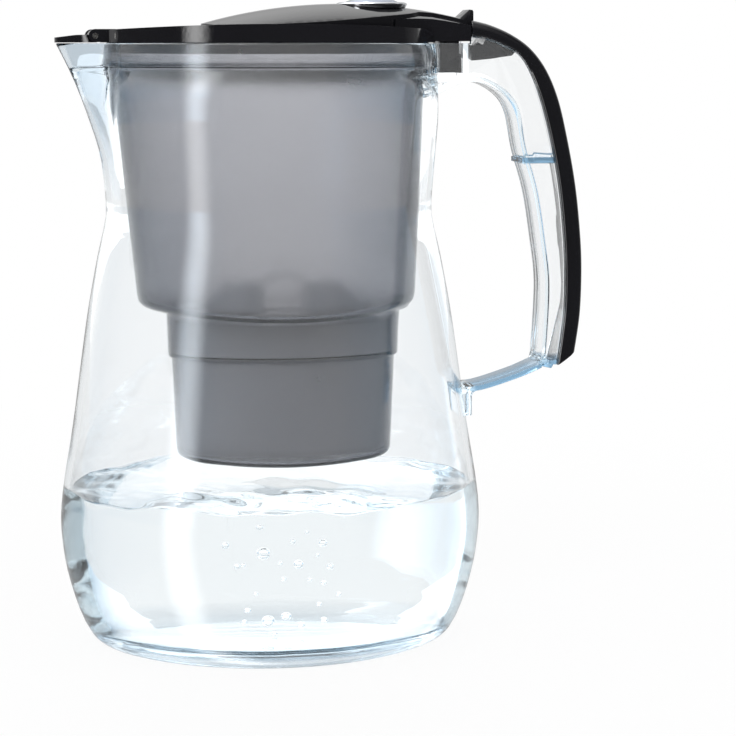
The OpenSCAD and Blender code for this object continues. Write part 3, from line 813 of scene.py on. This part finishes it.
def jug_wall_rings(jug):
    """Rings of the jug from the middle of the foot, up outside, over the rim and down inside"""
    h, wall, ledge = jug.h, jug.wall, jug.ledge
    rings = [jug.ring(0, inset * MM, jug.punt * share) for inset, share in PUNT_CURVE]
    rings += [jug.ring(z, inset) for z, inset in quarter(4 * MM, 6)]
    rings += [jug.ring(h * (0.034 + 0.022 * k)) for k in range(44)]
    edge = quarter(0.8 * MM, 4)
    rings += [jug.ring(h - drop, inset) for inset, drop in edge]
    rings += [jug.ring(h - drop, wall - back) for drop, back in edge]
    # the ledge that the funnel's collar rests on
    deep = wall + 1.6 * MM
    rings += [jug.ring(ledge, wall), jug.ring(ledge, deep - 0.3 * MM), jug.ring(ledge - 0.3 * MM, deep),
              jug.ring(ledge - 2 * MM, deep), jug.ring(ledge - 5 * MM, wall)]
    rings += [jug.ring(h * (0.9 - k * 0.0193), wall) for k in range(43)]
    rings += [jug.floor_ring(z, inset) for z, inset in eased(FLOOR_CURVE, 2.2)]
    rings.append(jug.ring(0, 60 * MM, 9 * MM))
    return rings


# ---- handle ----

# places on the handle: how far out from the rim's end in millimetres, and share of the height
GRIP_OUTER = ((14.4, 1.0395), (23.5, 1.031), (33.5, 1.015), (42.5, 0.991), (50, 0.955), (55.8, 0.905),
              (60.3, 0.837), (64, 0.765), (66.3, 0.695), (67.5, 0.625), (67, 0.545), (64.6, 0.479))
GRIP_INNER = ((14.4, 1.0105), (20, 1.0085), (28, 0.998), (36.4, 0.981), (42, 0.95), (47.2, 0.9),
              (51.8, 0.835), (55.4, 0.765), (57.6, 0.695), (58.8, 0.625), (58.6, 0.545), (55.6, 0.455))
CHANNEL_INNER = ((0.4, 0.918), (9, 0.933), (17, 0.936), (24, 0.928), (31, 0.909), (35.2, 0.88),
                 (38.4, 0.82), (44, 0.747), (47.8, 0.66), (49.6, 0.607), (49.6, 0.553), (48.2, 0.461))
ARM_SWEEP = ((0, 0), (0.2, 0.01), (0.36, 0.13), (0.57, 0.36), (0.78, 0.62), (1, 0.96))
GRIP_SECTION = ((-0.94, 0), (-1, 0.1), (-1, 0.55), (-0.94, 0.8), (-0.8, 0.94), (-0.5, 1),
                (0.5, 1), (0.8, 0.94), (0.94, 0.8), (1, 0.55), (1, 0.1), (0.94, 0))


def handle_path(jug, places, steps=9):
    return smooth_path([(jug.rim_a + p[0] * MM, jug.h * p[1]) for p in places], steps)


def clear_channel(jug):
    """The handle's clear channel with its pocket, cross rib, lower arm and foot pad"""
    size = bpy.context.scene.pitcher_handle
    wide, wall = size.channel_width, size.channel_wall
    mm = lambda x, y: Vector((x * MM, y * MM))
    inner = handle_path(jug, CHANNEL_INNER)
    grip = handle_path(jug, GRIP_INNER)
    seat = side_step(grip, -0.15 * MM)
    h, rim = jug.h, jug.rim_a
    outline = inner[::-1] + [Vector((rim - 3 * MM, h * 0.912)), Vector((rim - 3 * MM, h)),
                             Vector((rim + 14.2 * MM, h))] + seat
    hollow = (side_step(inner, 2.4 * MM) + [seat[-1] + mm(6, 3)] + [p + mm(8, 3) for p in grip[::-1]]
              + [Vector((rim - 5 * MM, h + 9 * MM)), Vector((rim - 5 * MM, h * 0.93))])
    body = plate("handle_channel", outline, wide)
    combine(body, [plate("hollow", hollow, wide - 2 * wall)], "DIFFERENCE")
    soften(body, 0.45 * MM, 40)
    floor_z, end_x = h * 0.9455, rim + 11.2 * MM
    half = wide / 2 - 0.3 * MM
    foot_low, foot_top = h * 0.371, h * 0.422
    foot_x = jug.a(foot_top)
    a, b = inner[-1], seat[-1]
    under = [a + mm(0, 2), b + mm(-0.6, 1.2), b + mm(-2.2, -1.6), a + mm(-0.6, -1.8)]
    start = Vector((foot_x - 2 * MM, foot_top))
    span = a - start
    over = smooth_path([start + Vector((span.x * x, span.y * z)) for x, z in ARM_SWEEP], 6)
    arm = over + side_step(over, -2.4 * MM)[::-1]
    pad = [Vector((foot_x - 4 * MM, foot_low)), Vector((foot_x + 4 * MM, foot_low))]
    pad += [Vector((foot_x, foot_top)) + mm(*q)
            for q in ((4, -4.6), (4.7, -3), (6.2, -2), (9, -1), (-4, -1))]
    extras = [
        box("pocket_floor", (rim - 3 * MM, -half, floor_z - 2.3 * MM),
            (end_x + 2.3 * MM, half, floor_z)),
        box("pocket_end", (end_x, -half, floor_z - 1 * MM), (end_x + 2.3 * MM, half, h - 0.2 * MM)),
        box("cross_rib", (rim + 38.6 * MM, -half, h * 0.8),
            (rim + 53 * MM, half, h * 0.8 + 2.2 * MM)),
        soften(plate("channel_end", under, wide - 0.06 * MM), 0.5 * MM, 40),
        soften(plate("arm", arm, wide - 0.1 * MM), 0.6 * MM, 40),
        soften(plate("pad", pad, wide - 0.2 * MM), 0.5 * MM, 50),
    ]
    return combine(body, extras)


class PITCHER_OT_jug(bpy.types.Operator):
    """Clear jug and its handle channel, in one moulding"""
    bl_idname = "pitcher.jug"
    bl_label = "Jug and handle channel"

    def execute(self, context):
        jug = Jug()
        body = skin("jug", jug_wall_rings(jug))
        handle = clear_channel(jug)
        # the handle is cut off inside the jug's wall
        inside = 1.1 * MM
        heights = (80, 95, 105, 113, 120, 150, 180, 200, 225, 240, 250, 260, 268.7)
        core = skin("core", [jug.ring(z * MM, inside) for z in heights]
                    + [jug.ring(jug.h, inside, 290 * MM)])
        combine(handle, [core], "DIFFERENCE")
        combine(body, [handle])
        settle(body, "jug", "clear_plastic", "jug_body", "handle_frame", angle=38)
        return {"FINISHED"}


# ---- water ----

# bubbles: across, height and radius in millimetres, and depth from the middle
BUBBLES = ((-3, 43.5, 2.6, -14), (-17, 45, 1.5, -6), (-5, 51, 1.3, 2), (-10.5, 38.5, 0.9, -10),
           (-13, 36, 1.1, 4), (3, 39, 0.9, -8), (7.5, 46, 1.1, -3), (12, 48, 0.8, 6),
           (19, 46.5, 1.6, -9), (16, 40, 0.8, 3), (21, 37, 1.3, -4), (9, 36.5, 1.9, 5),
           (4.5, 33, 1.0, -11), (13.5, 31.5, 0.9, -2), (17.5, 29, 1.0, 7), (-1.5, 16, 2.3, -10),
           (-9, 20, 1.2, -5), (-10.5, 14, 1.0, 3), (5, 17.5, 1.9, -6), (10, 13, 1.2, 2),
           (19, 16, 1.3, -8), (16, 21, 0.9, 5), (0.5, 10.5, 1.0, -3), (-6, 27, 0.8, -9),
           (24, 25.5, 0.9, -1))
# in millimetres: how far the water reaches into the plastic, so that no air shows between them,
# and how far its edge climbs the wall
WATER_GRIP, WATER_CLIMB = 0.12, 1.1


def waves(x, y):
    """Height of the water's ripples at one place"""
    k = math.tau / 0.062
    return (0.9 * math.sin(k * x + 1.3 * math.sin(k * 0.6 * y))
            + 0.75 * math.sin(k * 1.35 * y + k * 0.5 * x + 0.8)
            + 0.45 * math.sin(k * 2.4 * x - k * 1.3 * y + 2.1)
            + 0.3 * math.sin(k * 3.3 * y + k * 2 * x)) * MM


def water_rings(jug, level):
    """Rings of the water from the middle of the foot, up the wall and in over the surface"""
    into, climb = WATER_GRIP * MM, WATER_CLIMB * MM
    wall = jug.wall - into
    rings = [jug.ring(0, 60 * MM, 9 * MM - into)]
    rings += [jug.floor_ring(z, inset, into) for z, inset in eased(FLOOR_CURVE[::-1], 2.2)]
    rings += [jug.ring(z * MM, wall) for z in (22, 26, 30, 35, 40, 45, 50, 55, 60, 64)]
    shore = jug.ring(level, wall)
    rings.append([Vector((p.x, p.y, level + climb + 0.5 * waves(p.x, p.y))) for p in shore])
    for share in [0.994, 0.985, 0.972, 0.955] + [0.93 - 0.03 * k for k in range(30)]:
        lift = climb * max(0, (share - 0.95) / 0.05) ** 2
        calm = 0.5 + 0.5 * min(1, (1 - share) / 0.06)
        flat = [(p.x * share, p.y * share) for p in shore]
        rings.append([Vector((x, y, level + lift + waves(x, y) * calm)) for x, y in flat])
    return rings


class PITCHER_OT_water(bpy.types.Operator):
    """Water in the jug, with a rippled surface and bubbles"""
    bl_idname = "pitcher.water"
    bl_label = "Water"

    def execute(self, context):
        water = skin("water", water_rings(Jug(), context.scene.pitcher_jug.water_level))
        made = []
        for x, z, r, y in BUBBLES:
            deselect()
            bpy.ops.mesh.primitive_uv_sphere_add(segments=20, ring_count=12, radius=r * MM)
            bubble = named("bubble")
            turn = Matrix.Rotation(VIEW_TURN, 4, "Z") @ Matrix.Translation((x * MM, y * MM, z * MM))
            flat = Matrix.Diagonal((1, 1, 0.88, 1))
            bubble.data.transform(turn @ flat)
            bubble.data.flip_normals()
            made.append(bubble)
        hold(water)
        for bubble in made:
            bubble.select_set(True)
        bpy.ops.object.join()
        settle(bpy.context.object, "jug", None, look="water", angle=60)
        return {"FINISHED"}


# ---- grip ----


class PITCHER_OT_grip(bpy.types.Operator):
    """Black grip that covers the handle's channel"""
    bl_idname = "pitcher.grip"
    bl_label = "Grip"

    def execute(self, context):
        jug = Jug()
        size = context.scene.pitcher_handle
        outer, inner = handle_path(jug, GRIP_OUTER), handle_path(jug, GRIP_INNER)
        section = eased(GRIP_SECTION, 0.12, 1)
        half = size.grip_width / 2
        grip = skin("grip_cover", [
            [Vector((p.x + (q.x - p.x) * d, w * half, p.y + (q.y - p.y) * d)) for w, d in section]
            for q, p in zip(outer, inner)])
        soften(grip, 0.5 * MM, 45)
        rim, h = jug.rim_a, jug.h
        rib = [Vector((rim + 15 * MM, h * 1.02))] + [p + Vector((0, 2.5 * MM)) for p in inner[3:28]]
        rib += [Vector((rim + x * MM, h * z)) for x, z in ((33.6, 0.979), (24, 0.974), (15, 0.971))]
        web = plate("rib", rib, size.channel_width - 2 * size.channel_wall - 0.6 * MM)
        combine(grip, [web])
        # room for the flap's tail to swing
        slot = rod("slot", (rim + 9.8 * MM, 0, h + 5.4 * MM), 12.2 * MM, 19.6 * MM)
        keep = box("keep", (rim - 10 * MM, -0.02, h - 20 * MM), (rim + 40 * MM, 0.02, h - 1 * MM))
        combine(slot, [keep], "DIFFERENCE")
        combine(grip, [slot], "DIFFERENCE")
        settle(grip, "jug", "black_plastic", "handle_grip", look="grip_plastic", angle=34)
        return {"FINISHED"}


# ---- funnel and cartridge ----

# in millimetres: the well's middle, the heights of the hopper's floor, of the cartridge's seat and
# of the well's foot, and how far the long sides of foot and floor drop
WELL_X = 6
HOPPER_FLOOR = 153.02
SEAT = HOPPER_FLOOR - 22.5
WELL_FOOT = SEAT - 47.4
FOOT_SAG, HOPPER_SAG = 2.2, 3.6
# end radius of the well's and the hopper's ovals, as a share of the half width
WELL_SHARE, END_SHARE = 0.74, 0.72


def funnel_profile(inset, cart_a, cart_b, hop_a, hop_b, wall):
    """Half length, half width, end share, middle, height and sag of the funnel, going up, in
    millimetres"""
    t, s = inset, wall - inset
    a, b = cart_a + 0.5, cart_b + 0.5
    well = [[a + d + s, b + d + s, WELL_SHARE, WELL_X, z, sag] for d, z, sag in (
        (-5.6, WELL_FOOT + t, FOOT_SAG), (-4, WELL_FOOT + 1 + 0.8 * t, FOOT_SAG),
        (-3.2, WELL_FOOT + 3.2 + t / 2, 0.8 * FOOT_SAG), (-1.5, SEAT - s, 0),
        (0, SEAT - 0.9 * s, 0), (0.7, HOPPER_FLOOR - 2.5 - s, 0))]
    step = [(a + hop_a) / 2 + s, (b + hop_b) / 2 + s, (WELL_SHARE + END_SHARE) / 2,
            WELL_X / 2 + 1.5, HOPPER_FLOOR - 0.5 - s, 0.4 * HOPPER_SAG]
    hopper = [[hop_a - d - t, hop_b - d - t, END_SHARE, 3, HOPPER_FLOOR + z - s, sag]
              for d, z, sag in ((2.4, 1, HOPPER_SAG), (0.7, 2.7, HOPPER_SAG), (0, 6, 0.9 * HOPPER_SAG))]
    return [[a - 12, b - 12, WELL_SHARE, WELL_X, WELL_FOOT + t, 0.2 * FOOT_SAG], *well, step, *hopper]


def to_ring(p, count=168):
    """A ring from one row of a profile"""
    a, b, share, x, z, sag = p
    return ring(a * MM, b * MM, share, x * MM, z * MM, count, sag * MM)


class PITCHER_OT_funnel(bpy.types.Operator):
    """Smoked funnel with the cartridge's well"""
    bl_idname = "pitcher.funnel"
    bl_label = "Funnel"

    def execute(self, context):
        jug = Jug()
        size = context.scene.pitcher_funnel
        wall = size.wall / MM
        cart_a, cart_b = size.cartridge_long / MM / 2, size.cartridge_wide / MM / 2
        rim_a, rim_b = jug.rim_a / MM, jug.rim_b / MM
        collar_a = rim_a - jug.wall / MM - size.fit / MM
        collar_b = rim_b - jug.wall / MM - size.fit / MM
        top, ledge = jug.top / MM, jug.ledge / MM
        hop_a, hop_b = max(0.826 * rim_a, cart_a + 13), max(0.81 * rim_b, cart_b + 10)
        args = (cart_a, cart_b, hop_a, hop_b, wall)
        outer, inner = funnel_profile(0, *args), funnel_profile(wall, *args)
        collar = [[collar_a - d, collar_b - d, END_SHARE, 0, z, 0] for d, z in (
            (2.7, ledge), (0, ledge), (0, top), (wall, top), (wall, ledge + 2.4), (2.7 + wall, ledge))]
        path = eased(outer + collar + inner[::-1], 0.6)
        # more rings along the long walls
        dense = [path[0]]
        for p, q in zip(path, path[1:]):
            cuts = max(1, int(math.dist(p, q) / 8))
            dense += [[u + (v - u) * k / cuts for u, v in zip(p, q)] for k in range(1, cuts + 1)]
        funnel = skin("funnel_shell", [to_ring(p) for p in dense])
        outlet = skin("outlet", [ring(34 * MM, 14 * MM, 12 / 14, WELL_X * MM, z * MM, 96)
                                 for z in (WELL_FOOT - 5, WELL_FOOT + 15)])
        combine(funnel, [outlet], "DIFFERENCE")
        settle(funnel, "funnel", "smoke_plastic", "funnel", angle=40)
        return {"FINISHED"}


class PITCHER_OT_cartridge(bpy.types.Operator):
    """White cartridge shell and its humped cap with a carry loop"""
    bl_idname = "pitcher.cartridge"
    bl_label = "Cartridge"

    def execute(self, context):
        size = context.scene.pitcher_funnel
        a, b = size.cartridge_long / MM / 2, size.cartridge_wide / MM / 2
        top, foot = SEAT + 15, SEAT - 45
        cap = top - 4
        t, ba, bb = 1.6, a - 1.5, b - 1.5
        path = [[ba - 3.4, bb - 3.4, foot], [ba - 2.3, bb - 2.3, foot + 2.5],
                [ba - 0.1, bb - 0.1, SEAT], [a, b, SEAT], [a, b, top], [a - t, b - t, top],
                [a - t, b - t, cap], [ba - t, bb - t, cap],
                [ba - t - 2.2, bb - t - 2.2, foot + 3], [ba - t - 3.2, bb - t - 3.2, foot + 1.8]]
        shell = skin("cartridge_body", [to_ring([u, v, WELL_SHARE, WELL_X, z, 0], 144)
                                        for u, v, z in eased(path, 0.6)])
        # nine outlet slots across the foot
        middles = [WELL_X + 7.5 * i for i in range(-4, 5)]
        cuts = [box("slot", ((x - 1) * MM, -11 * MM, (foot - 1) * MM),
                    ((x + 1) * MM, 11 * MM, (foot + 3) * MM)) for x in middles]
        combine(shell, cuts, "DIFFERENCE")
        settle(shell, "cartridge", "white_plastic", "cartridge_shell", angle=40)
        soft_copy("cartridge_cap", "cartridge_top", 0.5, "cartridge", "white_plastic", angle=40)
        return {"FINISHED"}


# ---- lid ----


class PITCHER_OT_lid(bpy.types.Operator):
    """Black lid with its plug-in skirt, hinge ears and shoulders"""
    bl_idname = "pitcher.lid"
    bl_label = "Lid"

    def execute(self, context):
        soft_copy("lid_frame", "lid_shell", 0.35, "lid", "black_plastic", angle=30, even=True)
        return {"FINISHED"}


class PITCHER_OT_flap(bpy.types.Operator):
    """Domed flip-up flap with its thumb tab"""
    bl_idname = "pitcher.flap"
    bl_label = "Flap"

    def execute(self, context):
        soft_copy("flip_lid", "flap_shell", 0.3, "flip_lid", "black_plastic", angle=30)
        return {"FINISHED"}


class PITCHER_OT_spout_flap(bpy.types.Operator):
    """Small flap over the spout"""
    bl_idname = "pitcher.spout_flap"
    bl_label = "Spout flap"

    def execute(self, context):
        soft_copy("spout_flap", "spout_cover", 0.25, "spout_flap", "black_plastic", angle=30)
        return {"FINISHED"}


# the indicator, in millimetres: the button's rise over the ring and its travel
DOME_RISE, TRAVEL = 2.9, 1.2
# and the coil under it: turns, steps to a turn, radius of the coil and of its wire
COIL_TURNS, COIL_STEPS, COIL_R, WIRE_R = 4, 28, 3.4, 0.35


def coil_rings(middle, low, high):
    """Rings of a round wire that winds upwards and lies flat for half a turn at each end"""
    up = Vector((0, 0, 1))
    rings = []
    for k in range(COIL_TURNS * COIL_STEPS + 1):
        t = math.tau * k / COIL_STEPS
        rise = min(1, max(0, (k / COIL_STEPS - 0.5) / (COIL_TURNS - 1)))
        z = low + WIRE_R + (high - low - 2 * WIRE_R) * rise
        out = Vector((math.cos(t), math.sin(t), 0))
        place = Vector((middle, 0, 0)) + out * COIL_R * MM + Vector((0, 0, z * MM))
        rings.append([place + (out * math.cos(u) + up * math.sin(u)) * WIRE_R * MM
                      for u in [math.tau * i / 10 for i in range(10)]])
    return rings


class PITCHER_OT_indicator(bpy.types.Operator):
    """Chrome ring and button of the indicator, and the spring under it"""
    bl_idname = "pitcher.indicator"
    bl_label = "Indicator"

    def execute(self, context):
        jug = Jug()
        size = context.scene.pitcher_lid
        crest = (jug.h + size.crest) / MM
        r = size.bezel / MM / 2
        foot, top, bore = crest - 3.2, crest + 0.7, r - 3.7
        middle = 0.618 * jug.rim_a
        path = [[bore, foot], [r - 1.7, foot], [r, foot + 2.8], [r, foot + 3.3], [r - 1.2, top],
                [bore, top], [bore, foot]]
        bezel = turned("bezel_ring", eased(path, 0.5)[:-1], middle)
        settle(bezel, "flip_lid", "chrome", "indicator_bezel", angle=30)

        # a stem, a flat underside and a domed top
        cap_r, low = bore - 0.2, foot + TRAVEL
        dome_r = (cap_r**2 + DOME_RISE**2) / (2 * DOME_RISE)
        profile = [(0.0, foot - 2.8), (2.0, foot - 2.8), (2.0, low), (3, low), (cap_r - 0.3, low),
                   (cap_r, low + 0.3), (cap_r, top - 0.35)]
        steps = 16
        for k in range(steps + 1):
            q = (cap_r - 0.35) * (1 - k / steps)
            profile.append((q, top + DOME_RISE - dome_r + math.sqrt(dome_r**2 - q * q)))
        button = turned("button_cap", profile, middle)
        settle(button, "button", "button_plastic", "indicator_button", angle=30)

        # the coil stands on the board: the capsule's depth, the board's height in it and thickness
        board_top = foot - 10.4 + 4.8 + 1.2
        high = low - 0.05
        coil = skin("button_coil", coil_rings(middle, board_top, high))
        settle(coil, "flip_lid", "pin_steel", "button_spring", angle=60)
        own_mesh(coil)
        return {"FINISHED"}


INNER_PARTS = {
    "upper_screen": "mesh_screen", "lower_screen": "mesh_screen", "filter_media": "filter_media",
    "flip_hinge_pin": "pin_steel", "spout_flap_pin": "pin_steel", "indicator_capsule": "grey_plastic",
    "indicator_board": "board", "coin_cell": "pin_steel",
}


class PITCHER_OT_inner_parts(bpy.types.Operator):
    """Finishes of the parts that keep their own shape"""
    bl_idname = "pitcher.inner_parts"
    bl_label = "Inner parts"

    def execute(self, context):
        for node, slot in INNER_PARTS.items():
            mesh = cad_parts[node].data
            mesh.materials.clear()
            mesh.materials.append(FINISHES[slot])
        return {"FINISHED"}


# ---- panel and start ----


class PITCHER_PT_panel(bpy.types.Panel):
    """Lists the pitcher's sizes, colours and pieces"""
    bl_idname = "PITCHER_PT_panel"
    bl_label = "Water filter pitcher"
    bl_space_type = "VIEW_3D"
    bl_region_type = "UI"
    bl_category = "Pitcher"

    def draw(self, context):
        layout = self.layout
        for group in GROUPS:
            values = getattr(context.scene, group)
            area = layout.box()
            area.label(text=group.split("_")[1].capitalize())
            for key in values.__annotations__:
                area.prop(values, key)
        for operator in OPERATORS:
            layout.operator(operator.bl_idname)


GROUPS = {"pitcher_jug": PITCHER_PG_jug, "pitcher_handle": PITCHER_PG_handle,
          "pitcher_funnel": PITCHER_PG_funnel, "pitcher_lid": PITCHER_PG_lid,
          "pitcher_colours": PITCHER_PG_colours}
# in the order in which main calls them
OPERATORS = (PITCHER_OT_inner_parts, PITCHER_OT_jug, PITCHER_OT_water, PITCHER_OT_grip,
             PITCHER_OT_funnel, PITCHER_OT_cartridge, PITCHER_OT_lid, PITCHER_OT_flap,
             PITCHER_OT_spout_flap, PITCHER_OT_indicator, PITCHER_OT_stage)
CLASSES = (*GROUPS.values(), *OPERATORS, PITCHER_PT_panel)


def register():
    for made in CLASSES:
        bpy.utils.register_class(made)
    for name, group in GROUPS.items():
        setattr(bpy.types.Scene, name, bpy.props.PointerProperty(type=group))


def unregister():
    for name in GROUPS:
        delattr(bpy.types.Scene, name)
    for made in reversed(CLASSES):
        bpy.utils.unregister_class(made)


def main():
    register()
    FINISHES.update(all_finishes())
    for operator in OPERATORS:
        getattr(bpy.ops.pitcher, operator.bl_idname.split(".")[1])()


if __name__ == "__main__":
    main()
